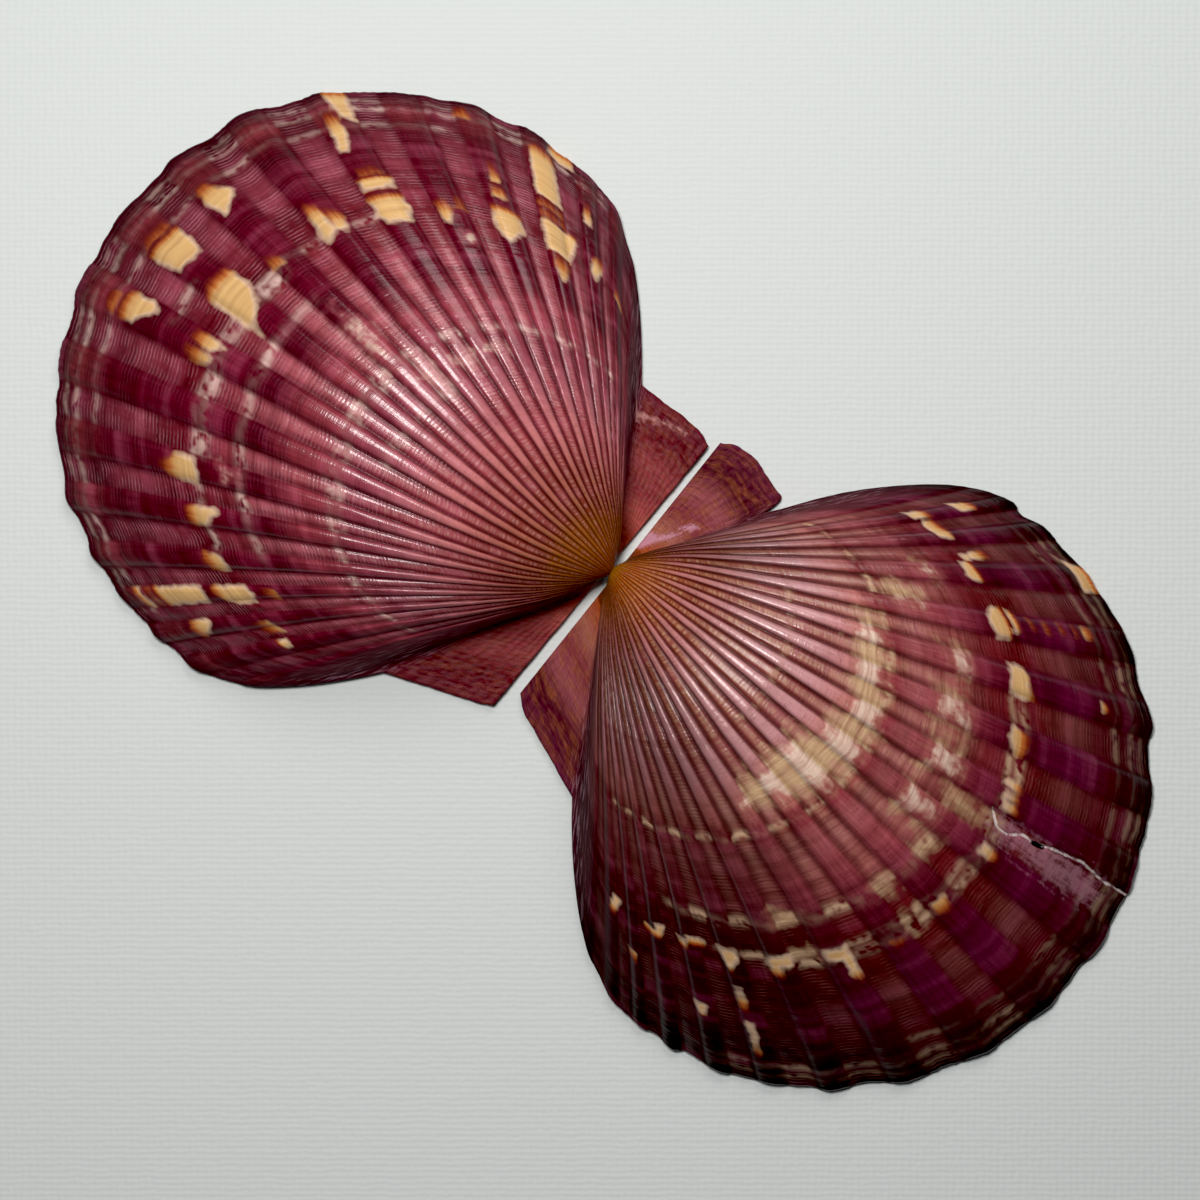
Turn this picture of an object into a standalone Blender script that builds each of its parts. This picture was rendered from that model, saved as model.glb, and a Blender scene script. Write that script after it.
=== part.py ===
"""A bay scallop shell: its two valves lie open on a table, outsides up and hinge to hinge.

Units are metres, Z is up. The hinge line runs along X and the left valve opens towards +Y.
The middle of the pair's box stands over the origin, and the valves' edges rest at Z = 0.
"""

import math

import bmesh
import bpy
from mathutils import Matrix, Vector

MM = 0.001

# How a valve grows: its margin, repeated smaller and further up a spiral, back to the beak
SPIRAL = 0.55                  # radians of turn for each time the valve grows by a factor of e
BEAK_SIZE = 0.055              # the smallest margin, as a share of the full one
BEAK_HALF_WIDTH = 30.0 * MM    # of the plain half ellipse that margins shrink to, at full size
BEAK_LENGTH = 58.0 * MM
EARED_SIZE = 0.2               # the growth by which the valve has its ears
ROWS = 14                      # growth stages from the beak to the margin
ROW_CROWDING = 1.35            # above 1, the rows stand closer together near the beak

# The shell's thickness and fullness
WALL = 1.3 * MM
EDGE_THICKNESS = 0.9 * MM
HINGE_PLATE = 2.6 * MM         # depth of the flat plate that runs under the hinge line
DOME_FULLNESS = 1.15
SHOULDER_FULLNESS = 0.8        # above 0, the sides swell towards the steep fall to the ears
SHOULDER_ANGLE = 52.0
EAR_FULLNESS = 0.45
DROP = (4.5, 0.5)              # degrees inside and outside an ear's junction where the disc falls
LINING_INSET = 1.0 * MM        # how far the lining keeps off the steep shoulders, sideways
INSET_ANGLE = 30.0             # the angle from which it does
INSET_START = 0.6              # the growths by which the inset is full, and from which it fades
INSET_END = 0.8
HOLLOW_START = 0.35            # nearer the beak than this growth, the lining curls no further
FOOT_DEPTH = 0.02              # how far the foot of the beak's back stands off the hinge line

# The ribs, in degrees about the beak
RIB_COUNT = 17
RIB_PITCH = 7.55
RIB_CROWDING = 0.0022          # the ribs stand closer together towards the ears
RIB_HEIGHT = 0.65 * MM         # at the margin, above the spaces between the ribs
MARGIN_SCALLOP = 1.0 * MM      # how far a rib's end stands out past the spaces beside it
CREST_SHARE = 0.20             # half a crest, and where its slope ends, as shares of a pitch
SLOPE_SHARE = 0.34
RIB_FADE = (8.0, 3.0)          # degrees inside an ear's junction between which the ribs fade

# Where an ear's columns stand, in degrees outside its junction with the disc
EAR_COLUMNS = (-4.5, -2.6, -1.2, 0.0, 1.5, 4.0, 9.0, 16.0)
COLUMN_GAP = 0.8               # degrees that the disc's last column keeps off the ear's first
HINGE_ANGLE = 90.0

# The two valves. Angles are in degrees from the valve's middle line, + towards its right
# when it is seen from outside with the beak below. An ear's side is the line of points whose
# distance from the middle line is reach + slope times the distance from the hinge line.
LEFT_VALVE = {
    "name": "left_valve",
    "disc_radius": 31.5 * MM,
    "disc_centre": 28.5 * MM,
    "lean": -5.0,
    "middle_rib": 8.45,
    "ears": {
        -1: {"reach": 18.0 * MM, "slope": 0.40, "junction": 64.5, "shoulder": 11.0, "notch": 0.0},
        1: {"reach": 16.4 * MM, "slope": 0.0, "junction": 61.0, "shoulder": 11.0, "notch": 0.0},
    },
    "hinge": (-0.12 * MM, 0.50 * MM),
    "turn": -0.53,
    "colour": (0.150, 0.020, 0.035, 1.0),
}
RIGHT_VALVE = {
    "name": "right_valve",
    "disc_radius": 32.0 * MM,
    "disc_centre": 29.0 * MM,
    "lean": 3.5,
    "middle_rib": 7.15,
    "ears": {
        -1: {"reach": 17.7 * MM, "slope": -0.17, "junction": 60.5, "shoulder": 11.0,
             "notch": 2.7 * MM},
        1: {"reach": 16.0 * MM, "slope": 0.40, "junction": 62.5, "shoulder": 12.0, "notch": 0.0},
    },
    "hinge": (0.12 * MM, -0.50 * MM),
    "turn": 180.57,
    "colour": (0.115, 0.016, 0.038, 1.0),
}
NOTCH_HALF_WIDTH = 1.4         # degrees
NOTCH_START = 0.55             # the growth at which the notch for the byssus begins to show
NOTCH_FULL = 0.9               # and at which it is as deep as it gets


def smooth_step(low, high, value):
    """0 below low, 1 above high, and a smooth rise between them."""
    share = min(1.0, max(0.0, (value - low) / (high - low)))
    return share * share * (3.0 - 2.0 * share)


def rib_angles(valve):
    """The angle of each rib's crest, with one more on each side to measure spaces from."""
    angles = []
    for number in range(-1, RIB_COUNT + 1):
        steps = number - valve["middle_rib"]
        angles.append(RIB_PITCH * steps * (1.0 - RIB_CROWDING * steps * steps))
    return angles


def rib_relief(valve, angle):
    """1 on a rib's crest and 0 in the space beside it, fading out at the ears."""
    ribs = rib_angles(valve)
    for first, second in zip(ribs, ribs[1:]):
        if first <= angle <= second:
            nearest = min(angle - first, second - angle) / (second - first)
            ear = valve["ears"][1 if angle > 0.0 else -1]
            fade = 1.0 - smooth_step(ear["junction"] - RIB_FADE[0],
                                     ear["junction"] - RIB_FADE[1], abs(angle))
            return fade * (1.0 - smooth_step(CREST_SHARE, SLOPE_SHARE, nearest))
    return 0.0


def column_angles(valve):
    """The angles at which the valve is drawn: four to each rib, and a few on each ear."""
    outermost = {side: valve["ears"][side]["junction"] + EAR_COLUMNS[0] for side in (-1, 1)}
    angles = []
    ribs = rib_angles(valve)
    for first, second in zip(ribs, ribs[1:]):
        for share in (CREST_SHARE, SLOPE_SHARE, 1.0 - SLOPE_SHARE, 1.0 - CREST_SHARE):
            angles.append(first + share * (second - first))
    angles = [angle for angle in angles
              if -outermost[-1] + COLUMN_GAP < angle < outermost[1] - COLUMN_GAP]
    for side in (-1, 1):
        angles += [side * (valve["ears"][side]["junction"] + step) for step in EAR_COLUMNS]
        angles.append(side * HINGE_ANGLE)
    return sorted(angles)


def margin_radius(valve, angle, growth):
    """Distance from the hinge's middle to the margin that a stage of growth would reach.

    It is a round disc that joins two ears. Close to the beak it is a plain half ellipse.
    """
    ear = valve["ears"][1 if angle > 0.0 else -1]
    turned = math.radians(angle - valve["lean"])
    disc = valve["disc_centre"] * math.cos(turned) + math.sqrt(
        max(0.0, valve["disc_radius"] ** 2 - (valve["disc_centre"] * math.sin(turned)) ** 2))
    outwards = math.radians(abs(angle))
    if abs(angle) < ear["junction"] - ear["shoulder"]:
        radius = disc
    else:
        side_line = ear["reach"] / (math.sin(outwards) - ear["slope"] * math.cos(outwards))
        share = min(1.0, max(0.0, (ear["junction"] - abs(angle)) / ear["shoulder"]))
        radius = side_line + (disc - side_line) * (1.0 - (1.0 - share) ** 2)
    notch = math.exp(-((abs(angle) - ear["junction"]) / NOTCH_HALF_WIDTH) ** 2)
    radius -= ear["notch"] * notch * smooth_step(NOTCH_START, NOTCH_FULL, growth)
    radius += MARGIN_SCALLOP * (rib_relief(valve, angle) - 0.5)
    beak = 1.0 / math.hypot(math.sin(outwards) / BEAK_HALF_WIDTH, math.cos(outwards) / BEAK_LENGTH)
    return beak + (radius - beak) * grown(growth)


def grown(growth):
    """0 at the beak's tip and 1 once the valve has its ears."""
    return smooth_step(BEAK_SIZE, EARED_SIZE, growth)


def fallen(valve, angle):
    """0 on the disc and 1 on an ear, with the disc's steep fall between them."""
    junction = valve["ears"][1 if angle > 0.0 else -1]["junction"]
    return smooth_step(junction - DROP[0], junction + DROP[1], abs(angle))


def fullness(valve, angle, growth):
    """How far the valve swells at an angle, against a plain spiral."""
    shoulder = math.cos(math.radians(min(abs(angle), SHOULDER_ANGLE))) ** -SHOULDER_FULLNESS
    drop = fallen(valve, angle)
    full = DOME_FULLNESS * shoulder * (1.0 - drop) + EAR_FULLNESS * drop
    return DOME_FULLNESS + (full - DOME_FULLNESS) * grown(growth)


def outside_point(valve, growth, angle):
    """A point of the outer surface at a stage of growth, 1 at the margin."""
    spin = SPIRAL * math.log(1.0 / growth)
    reach = growth * margin_radius(valve, angle, growth)
    across = reach * math.sin(math.radians(angle))
    along = reach * math.cos(math.radians(angle))
    height = along * math.sin(spin) * fullness(valve, angle, growth)
    ribs = RIB_HEIGHT * growth * rib_relief(valve, angle)
    return Vector((across, along * math.cos(spin), EDGE_THICKNESS + height + ribs))


def inside_point(valve, growth, angle, outside):
    """The lining under a point of the outer surface; flat under the hinge and at the margin."""
    shoulder = smooth_step(INSET_ANGLE, SHOULDER_ANGLE, abs(angle)) * (1.0 - fallen(valve, angle))
    fade = shoulder * smooth_step(1.0, INSET_END, growth)
    fade *= smooth_step(HOLLOW_START, INSET_START, growth)
    spin = SPIRAL * math.log(1.0 / max(growth, HOLLOW_START))
    along = growth * margin_radius(valve, angle, growth) * math.cos(math.radians(angle))
    along *= FOOT_DEPTH if growth == BEAK_SIZE else math.cos(spin)
    across = outside.x - math.copysign(LINING_INSET * fade, angle)
    height = max(0.0, outside.z - WALL)
    if growth == 1.0 or along < HINGE_PLATE:
        height = 0.0
    return Vector((across, along, height))


def build_valve(valve):
    """One valve as one closed solid: an outer surface and a lining, joined round the edge."""
    angles = column_angles(valve)
    stages = [BEAK_SIZE + (1.0 - BEAK_SIZE) * (row / (ROWS - 1)) ** ROW_CROWDING
              for row in range(ROWS)]
    stages[-1] = 1.0

    mesh_data = bmesh.new()
    outside, inside = [], []
    for growth in stages:
        points = [outside_point(valve, growth, angle) for angle in angles]
        lining = [inside_point(valve, growth, angle, point) for angle, point in zip(angles, points)]
        outside.append([mesh_data.verts.new(point) for point in points])
        inside.append([mesh_data.verts.new(point) for point in lining])

    last_column = len(angles) - 1
    for row in range(ROWS - 1):
        for column in range(last_column):
            for layer in (outside, inside):
                mesh_data.faces.new((layer[row][column], layer[row][column + 1],
                                     layer[row + 1][column + 1], layer[row + 1][column]))
        for column in (0, last_column):
            mesh_data.faces.new((outside[row][column], outside[row + 1][column],
                                 inside[row + 1][column], inside[row][column]))
    for row in (0, ROWS - 1):
        for column in range(last_column):
            mesh_data.faces.new((outside[row][column], outside[row][column + 1],
                                 inside[row][column + 1], inside[row][column]))
    bmesh.ops.recalc_face_normals(mesh_data, faces=mesh_data.faces)

    mesh = bpy.data.meshes.new(valve["name"])
    mesh_data.to_mesh(mesh)
    mesh_data.free()
    mesh.shade_smooth()
    mesh.set_sharp_from_angle(angle=math.radians(40.0))
    mesh.materials.append(shell_material(valve))
    turn = Matrix.Rotation(math.radians(valve["turn"]), 4, "Z")
    mesh.transform(Matrix.Translation((*valve["hinge"], 0.0)) @ turn)
    return bpy.data.objects.new(valve["name"], mesh)


def shell_material(valve):
    """Glossy calcite shell, dark wine red."""
    material = bpy.data.materials.new(valve["name"] + "_calcite")
    material.use_nodes = True
    shader = material.node_tree.nodes["Principled BSDF"]
    shader.inputs["Base Color"].default_value = valve["colour"]
    shader.inputs["Roughness"].default_value = 0.38
    shader.inputs["Metallic"].default_value = 0.0
    return material


def centre_on_origin(objects):
    """Move the pair so that the middle of its box stands over the origin."""
    corners = [vertex.co for item in objects for vertex in item.data.vertices]
    low = [min(corner[axis] for corner in corners) for axis in range(2)]
    high = [max(corner[axis] for corner in corners) for axis in range(2)]
    shift = Vector([-(low[axis] + high[axis]) / 2.0 for axis in range(2)] + [0.0])
    for item in objects:
        item.location = shift


def main():
    for item in list(bpy.data.objects):
        bpy.data.objects.remove(item, do_unlink=True)
    collection = bpy.data.collections.new("bay_scallop_shell")
    bpy.context.scene.collection.children.link(collection)
    valves = [build_valve(valve) for valve in (LEFT_VALVE, RIGHT_VALVE)]
    for item in valves:
        collection.objects.link(item)
    centre_on_origin(valves)


main()
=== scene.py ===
"""The looks of a bay scallop shell that lies open, its two valves hinge to hinge, outsides up."""

import math

import bpy
import mathutils
import numpy as np
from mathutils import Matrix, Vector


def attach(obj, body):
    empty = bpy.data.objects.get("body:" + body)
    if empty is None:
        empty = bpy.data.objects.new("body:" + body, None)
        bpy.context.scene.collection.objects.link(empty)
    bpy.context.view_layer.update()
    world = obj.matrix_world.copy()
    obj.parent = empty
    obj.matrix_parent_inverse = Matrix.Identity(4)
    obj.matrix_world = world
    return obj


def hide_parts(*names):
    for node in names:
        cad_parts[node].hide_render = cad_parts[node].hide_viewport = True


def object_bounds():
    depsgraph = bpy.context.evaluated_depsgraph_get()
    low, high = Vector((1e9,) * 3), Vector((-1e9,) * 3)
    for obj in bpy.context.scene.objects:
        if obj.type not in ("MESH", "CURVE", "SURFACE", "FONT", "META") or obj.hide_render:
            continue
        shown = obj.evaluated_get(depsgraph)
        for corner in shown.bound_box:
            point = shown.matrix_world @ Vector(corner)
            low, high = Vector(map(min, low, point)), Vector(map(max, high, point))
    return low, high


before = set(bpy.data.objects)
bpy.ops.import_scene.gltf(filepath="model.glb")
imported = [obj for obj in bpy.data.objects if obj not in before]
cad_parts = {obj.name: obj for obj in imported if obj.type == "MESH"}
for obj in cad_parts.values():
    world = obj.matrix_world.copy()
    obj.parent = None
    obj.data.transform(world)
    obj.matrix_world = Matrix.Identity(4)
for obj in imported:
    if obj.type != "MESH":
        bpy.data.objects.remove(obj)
cad_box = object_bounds()
bpy.ops.object.select_all(action="DESELECT")


# The left valve.
# The real piece is calcite, laid down at the mantle's edge a line at a time, so it is one
# outline repeated larger and larger round a spiral, with ribs that run from the beak.
# It is held to nothing here: the ligament that joined the valves has gone.
MM = 0.001
BEAK = 0.032                   # growth at the beak's tip
CURL = 0.55                    # radians that the spiral turns for each e-fold of growth
SHELL = 0.9 * MM               # thickness
EDGE = 0.35 * MM               # radius of the margin's rounded edge
RIB_HEIGHT = 0.80 * MM
FLUTE = 0.30 * MM              # how deep the ribs show inside and under the margin
SCALLOP = 0.27 * MM            # how far the margin runs out at a rib
LINE_GAP = 0.0064              # growth between fine lines, 0.4 mm near the margin
CROWDED_GAP = 0.0115           # growth between the crowded ridges at the margin

# Angles are degrees from the valve's middle line, + to its right with the beak below.
# Growth is the size of the valve when a line was laid down, 1 at today's margin.
LEFT_VALVE = {
    "name": "left_valve",
    "hinge": (1.495 * MM, 1.007 * MM),
    "turn": -0.53,
    "disc_radius": 31.5 * MM,
    "disc_centre": 28.5 * MM,      # from the hinge to the middle of the disc, which leans
    "lean": -5.0,
    # each ear: how far its end stands out and slopes, the angle where it leaves the disc and
    # that over which it does, how deep the notch is, and how its end bulges and is rounded
    "ears": {
        -1: {"reach": 18.0 * MM, "slope": 0.40, "junction": 64.5, "shoulder": 11.0,
             "notch": 0.0, "bulge": 0.0, "round": 0.2 * MM},
        1: {"reach": 16.4 * MM, "slope": 0.0, "junction": 61.0, "shoulder": 11.0,
            "notch": 0.0, "bulge": 0.2 * MM, "round": 0.5 * MM},
    },
    "ribs": (-58.5, -53, -48, -43.2, -38.3, -32, -26, -18.7, -11, -3.4, 4, 11.3, 19.2, 26.5,
             34, 41, 47.6, 52, 56),
    # growths, and how many degrees the ribs lean to the left there
    "rib_lean": ((0.03, 2.2), (0.12, 2.3), (0.20, 2.6), (0.25, 2.0), (0.30, 1.3), (0.40, 0.5),
                 (0.50, 0.0)),
    "lean_fans": 0.012,            # how much more they lean for each degree to the right
    "turning": 1.1,                # stretches the ends of the yellow patches
    "rib_edge": (0.18, 0.29),      # half a rib's width by their spacing, at the beak and margin
    # the dark flanks, partly their own colour and partly painted shade where they face away from the
    # light: from, to and how dark, on the left and then on the right
    "dark_flank_and_shade": (-14.0, -50.0, 0.50, 34.0, 56.0, 0.36),
    "steps": (0.155, 0.43, 0.50, 0.66, 0.735, 0.82, 0.93, 0.965),     # growths where it paused
    "crack": (),
}

# Yellow patches: the share of growth over which the end turns orange, then the corners
LEFT_YELLOW = (
    (0.01, (-53.4, 0.748), (-51.8, 0.746), (-51.8, 0.773), (-53.2, 0.773)),
    (0.05, (-50.4, 0.735), (-48, 0.738), (-48.4, 0.772), (-50.2, 0.773)),
    (0.03, (-44.8, 0.728), (-43.4, 0.72), (-42, 0.725), (-42, 0.79), (-43.2, 0.803),
     (-45, 0.765)),
    (0.02, (-44.4, 0.82), (-42, 0.815), (-42, 0.923), (-44.4, 0.923)),
    (0.05, (-44.4, 0.927), (-42, 0.927), (-42, 0.944), (-44.4, 0.944)),
    (0.02, (-44.4, 0.951), (-42, 0.951), (-42, 0.972), (-44.4, 0.968)),
    (0.05, (-44.4, 0.675), (-42.8, 0.672), (-42.6, 0.7), (-44, 0.7)),
    (0.04, (-39.6, 0.736), (-38.6, 0.728), (-37.4, 0.74), (-37, 0.765), (-38.6, 0.778),
     (-39.6, 0.765)),
    (0.03, (-33.4, 0.738), (-31.2, 0.705), (-30.8, 0.71), (-30.9, 0.768), (-33.2, 0.77)),
    (0.04, (-27.8, 0.735), (-24.6, 0.732), (-24.5, 0.765), (-26, 0.8), (-26.8, 0.8),
     (-27.6, 0.775)),
    (0.05, (-13, 0.745), (-11.6, 0.732), (-11.4, 0.78), (-12.6, 0.784)),
    (0.04, (-11, 0.74), (-9.8, 0.722), (-9.3, 0.735), (-9.3, 0.775), (-10.6, 0.78)),
    (0.03, (-5.7, 0.68), (-4.6, 0.705), (-2.2, 0.722), (-1.2, 0.75), (-1.6, 0.8),
     (-4.5, 0.803), (-5.8, 0.785)),
    (0.04, (-47.4, 0.856), (-46.8, 0.86), (-46.9, 0.9), (-48.2, 0.918), (-49.2, 0.905),
     (-48.8, 0.88)),
    (0.03, (-10, 0.846), (-9.2, 0.862), (-9.3, 0.912), (-12.6, 0.916), (-12.2, 0.885)),
    (0.05, (-12.4, 0.922), (-10, 0.92), (-10.4, 0.945), (-12, 0.94)),
    (0.02, (-4.8, 0.85), (-1.7, 0.848), (-1.3, 0.875), (-1.4, 0.915), (-5.4, 0.918),
     (-5.3, 0.88)),
    (0.05, (-5, 0.922), (-1.6, 0.92), (-1.8, 0.94), (-4.6, 0.94)),
    (0.04, (3.2, 0.858), (5, 0.875), (5.7, 0.89), (4.6, 0.905), (4, 0.932), (2.8, 0.935),
     (2.6, 0.89)),
    (0.05, (2, 0.738), (3.6, 0.733), (3.6, 0.745), (2.4, 0.765)),
    (0.04, (9.4, 0.73), (9.8, 0.72), (11, 0.725), (11.6, 0.74), (11.4, 0.775),
     (10.8, 0.79), (10, 0.8), (9.9, 0.775)),
    (0.04, (11.6, 0.735), (12.4, 0.722), (13.3, 0.75), (13, 0.77), (11.8, 0.775)),
    (0.02, (17, 0.735), (17.8, 0.718), (20.6, 0.715), (21.3, 0.74), (21.2, 0.775),
     (17.2, 0.778)),
    (0.01, (17.2, 0.786), (21.1, 0.786), (21.1, 0.812), (17.4, 0.812)),
    (0.05, (17.8, 0.815), (20.8, 0.815), (20, 0.832), (18, 0.83)),
    (0.05, (17.6, 0.87), (18.4, 0.868), (19.4, 0.9), (19.2, 0.96), (18.3, 0.962),
     (18, 0.92)),
    (0.02, (19.8, 0.948), (21, 0.935), (21.3, 1.01), (19.2, 1.01)),
    (0.05, (24.8, 0.712), (25.6, 0.706), (26.6, 0.745), (26.2, 0.765), (25, 0.755)),
    (0.06, (27.4, 0.742), (28.4, 0.738), (28.4, 0.768), (27.6, 0.765)),
    (0.02, (32, 0.715), (33.2, 0.688), (34.4, 0.7), (36, 0.725), (35.9, 0.765),
     (32.3, 0.768)),
    (0.04, (33, 0.785), (34.6, 0.782), (35, 0.81), (33.4, 0.815)),
    (0.06, (33.6, 0.82), (34.6, 0.82), (34.4, 0.865), (33.8, 0.868)),
    (0.06, (40.8, 0.65), (41.6, 0.66), (42.6, 0.7), (42.6, 0.712), (39.8, 0.712),
     (40.2, 0.68)),
    (0.02, (39.4, 0.715), (42.8, 0.713), (43.6, 0.74), (44.6, 0.775), (44.2, 0.8),
     (43.2, 0.785), (39.4, 0.786)),
    (0.05, (39.5, 0.795), (43, 0.795), (43, 0.812), (39.5, 0.812)),
    (0.05, (39.5, 0.817), (43, 0.817), (43, 0.836), (39.5, 0.836)),
    (0.04, (39.6, 0.842), (42.9, 0.842), (42.6, 0.97), (41, 0.978), (39.8, 0.96)),
    (0.04, (46.8, 0.735), (47.6, 0.72), (49, 0.76), (48.9, 0.795), (47.8, 0.785)),
    (0.05, (46.4, 0.858), (47.6, 0.855), (47.4, 0.915), (46.8, 0.91)),
    (0.05, (51.6, 0.74), (52.8, 0.735), (53.2, 0.77), (52, 0.773)),
    (0.05, (31.6, 0.97), (33.4, 0.967), (33, 0.993), (31.8, 0.99)),
    (0.02, (42.4, 0.98), (45.4, 0.978), (45.2, 1.01), (42.6, 1.01)),
)

# Whitish and peach places with soft edges, each with its corners
LEFT_CREAM = (
    ((2.2, 0.5), (3.4, 0.5), (4.8, 0.54), (4.4, 0.6), (3.4, 0.63), (2.8, 0.58)),
    ((4, 0.455), (9, 0.452), (9, 0.478), (4, 0.475)),
    ((12.5, 0.455), (17, 0.452), (17, 0.476), (12.5, 0.474)),
    ((19, 0.462), (24, 0.468), (24, 0.48), (19, 0.478)),
    ((26.5, 0.672), (28.4, 0.675), (28, 0.689), (26.6, 0.689)),
    ((-26, 0.672), (-24.6, 0.672), (-24.8, 0.692), (-25.8, 0.69)),
    ((60.5, 0.8), (64, 0.85), (72, 0.9), (81, 0.935), (81, 0.945), (72, 0.915),
     (63, 0.865), (59.5, 0.83)),
)

# Pale rings on the spaces between ribs: growth, half width, strength, first and last angle
LEFT_RINGS = (
    (0.433, 0.010, 0.35, -14, 10), (0.495, 0.008, 0.45, -30, 10), (0.508, 0.007, 0.60, -56, 50),
    (0.658, 0.008, 0.75, -38, 3), (0.722, 0.010, 0.80, -24, 3), (0.736, 0.006, 0.60, -38, 18),
    (0.820, 0.007, 0.75, -10, -5), (0.925, 0.006, 0.40, -24, 30), (0.965, 0.006, 0.55, -45, 50),
    (0.985, 0.004, 0.35, -45, 50),
)


def smooth_step(low, high, value):
    """0 below low, 1 above high, and a smooth rise between them."""
    share = np.clip((value - low) / (high - low), 0.0, 1.0)
    return share * share * (3.0 - 2.0 * share)


def ripple(across, along, seed, *waves):
    """Uneven but smooth: waves of a period and a height, crossed at odd directions."""
    total = np.zeros_like(across)
    for number, (period, height) in enumerate(waves):
        for turn in range(3):
            way = seed * 1.7 + number * 2.3 + turn * 1.25
            phase = (across * math.cos(way) + along * math.sin(way)) * 2.0 * math.pi / period
            total += height / 3.0 * np.sin(phase + seed * 3.1 + turn * 2.1)
    return total


def ear_size(valve, angle, key):
    """A size of the ear on each angle's own side."""
    return np.where(angle > 0.0, valve["ears"][1][key], valve["ears"][-1][key])


def rib_place(valve, angle, growth):
    """Where a point lies among the ribs: the rib before it, and the share of the way past it."""
    grown, lean = zip(*valve["rib_lean"])
    fan = np.clip(1.0 + valve["lean_fans"] * angle, 0.0, 2.4)
    rib_angle = angle + np.interp(growth, grown, lean) * fan
    ribs = np.array(valve["ribs"], float)
    return np.interp(rib_angle, ribs, np.arange(len(ribs)), left=0.0, right=len(ribs) - 1.0)


def rib_fade(valve, angle):
    """1 where there are ribs, and 0 on the ears and beside them."""
    junction = ear_size(valve, angle, "junction")
    return 1.0 - smooth_step(junction - 8.0, junction - 2.5, np.abs(angle))


RIB_EDGE = 0.29


def from_rib(valve, place, growth):
    """Distance from the middle of the nearest rib: RIB_EDGE where it ends, 0.5 halfway on."""
    nearest = np.abs(place - np.round(place))
    near_beak, near_margin = valve["rib_edge"]
    edge = near_beak + (near_margin - near_beak) * smooth_step(0.20, 0.62, growth)
    return np.where(nearest < edge, nearest * RIB_EDGE / edge,
                    RIB_EDGE + (nearest - edge) * (0.5 - RIB_EDGE) / (0.5 - edge))


def rib_section(nearest, growth):
    """A rib's cross-section: its crest, rounded at first and squarish later, and a low swell."""
    square = np.maximum(0.0, 1.0 - smooth_step(0.15, 0.31, nearest) - 0.10 * (nearest / 0.20) ** 2)
    rounded = np.maximum(0.0, 1.0 - smooth_step(0.19, 0.33, nearest) - 0.24 * (nearest / RIB_EDGE) ** 2)
    crest = rounded + (square - rounded) * smooth_step(0.35, 0.70, growth)
    swell = (0.32 + 0.12 * growth) * smooth_step(0.31, 0.44, nearest)
    groove = 0.20 - 0.10 * smooth_step(0.5, 0.8, growth)
    return crest + swell - groove * np.exp(-((nearest - 0.31) / 0.035) ** 2)


def margin_radius(valve, angle, growth):
    """Distance from the hinge's middle to the outline: a disc and two ears, on a plain beak."""
    junction = ear_size(valve, angle, "junction")
    turned = np.radians(angle - valve["lean"])
    centre = valve["disc_centre"]
    disc = centre * np.cos(turned) + np.sqrt(
        np.maximum(0.0, valve["disc_radius"] ** 2 - (centre * np.sin(turned)) ** 2))
    out = np.radians(np.abs(angle))
    side = ear_size(valve, angle, "reach") / np.maximum(
        0.2, np.sin(out) - ear_size(valve, angle, "slope") * np.cos(out))
    share = np.clip((junction - np.abs(angle)) / ear_size(valve, angle, "shoulder"), 0.0, 1.0)
    radius = np.where(share < 1.0, side + (disc - side) * (1.0 - (1.0 - share) ** 2), disc)
    notch = np.exp(-((np.abs(angle) - junction) / 1.4) ** 2)
    radius = radius - ear_size(valve, angle, "notch") * notch * smooth_step(0.55, 0.9, growth)
    place = rib_place(valve, angle, growth)
    scallop = np.cos(2.0 * math.pi * place) * rib_fade(valve, angle)
    scallop *= 0.65 + 0.45 * np.sin(place * 1.9 + valve["turn"])
    ragged = ripple(angle, growth * 8.0, 3.0, (9.0, 0.22), (2.3, 0.10), (0.9, 0.05))
    ragged *= smooth_step(0.6, 1.0, growth) * (0.35 + 0.65 * rib_fade(valve, angle))
    radius = radius + SCALLOP * scallop + ragged * MM
    radius = radius + ear_size(valve, angle, "bulge") * np.exp(-((np.abs(angle) - 77.0) / 7.0) ** 2)
    radius = radius - ear_size(valve, angle, "round") * smooth_step(82.0, 91.0, np.abs(angle)) ** 2
    beak = 1.0 / np.hypot(np.sin(out) / (30.0 * MM), np.cos(out) / (58.0 * MM))
    return beak + (radius - beak) * smooth_step(0.055, 0.2, growth)


def fullness(valve, angle, growth):
    """How far the valve swells at an angle, against a plain spiral."""
    junction = ear_size(valve, angle, "junction")
    shoulder = np.cos(np.radians(np.minimum(np.abs(angle), 52.0))) ** -0.8
    drop = smooth_step(junction - 4.0, junction + 0.5, np.abs(angle))
    full = 1.15 * shoulder * (1.0 - drop) + 0.45 * drop
    return 1.15 + (full - 1.15) * smooth_step(0.055, 0.2, growth)


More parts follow.
